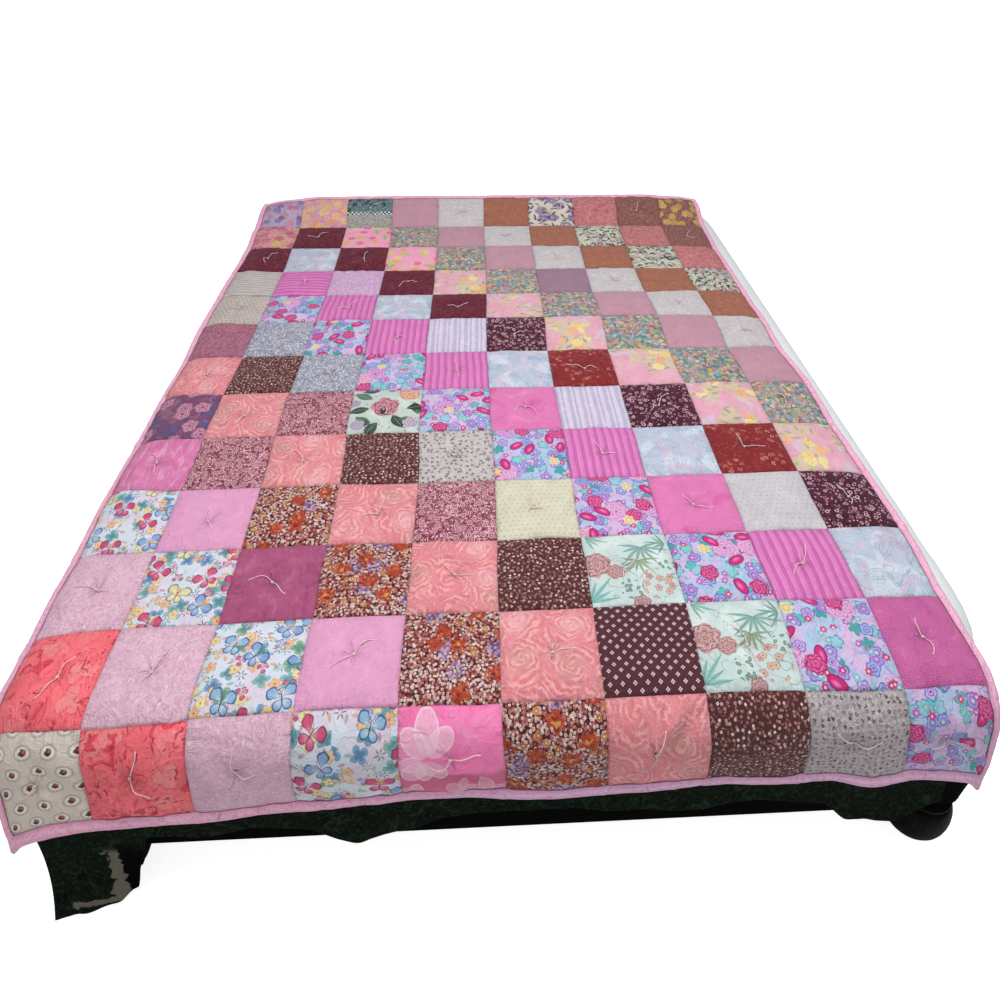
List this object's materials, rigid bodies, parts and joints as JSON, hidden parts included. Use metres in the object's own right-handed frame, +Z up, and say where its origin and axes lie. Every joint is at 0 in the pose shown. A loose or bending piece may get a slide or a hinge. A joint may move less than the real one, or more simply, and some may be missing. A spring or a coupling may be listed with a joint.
{
  "type": "patchwork quilt on a bed with mattress and frame",
  "caption": "Tied patchwork quilt of square patches with a folded binding, spread over a mattress on a low bed frame and turned down over its foot.",
  "frame": {"origin": "centre of the whole object's footprint, on the floor", "axes": "+Z up, +Y towards the head of the bed, +X across the bed, to the right when seen from its foot"},
  "size_m": [1.6124, 2.0707, 0.4995],
  "materials": {
    "quilt": "matte printed cotton patchwork",
    "binding": "matte pale pink cotton",
    "mattress": "matte pale grey-blue cotton sheet",
    "bed_frame": "matte black",
    "bed_foot": "matte black",
    "undercloth": "matte dark green cotton"
  },
  "bodies": {
    "root": {"quilt": "quilt", "binding": "binding", "mattress": "mattress", "bed_frame": "bed_frame", "foot_left_end": "bed_foot", "foot_right_end": "bed_foot", "foot_left_head": "bed_foot", "foot_right_head": "bed_foot", "undercloth": "undercloth"}
  },
  "joints": []
}
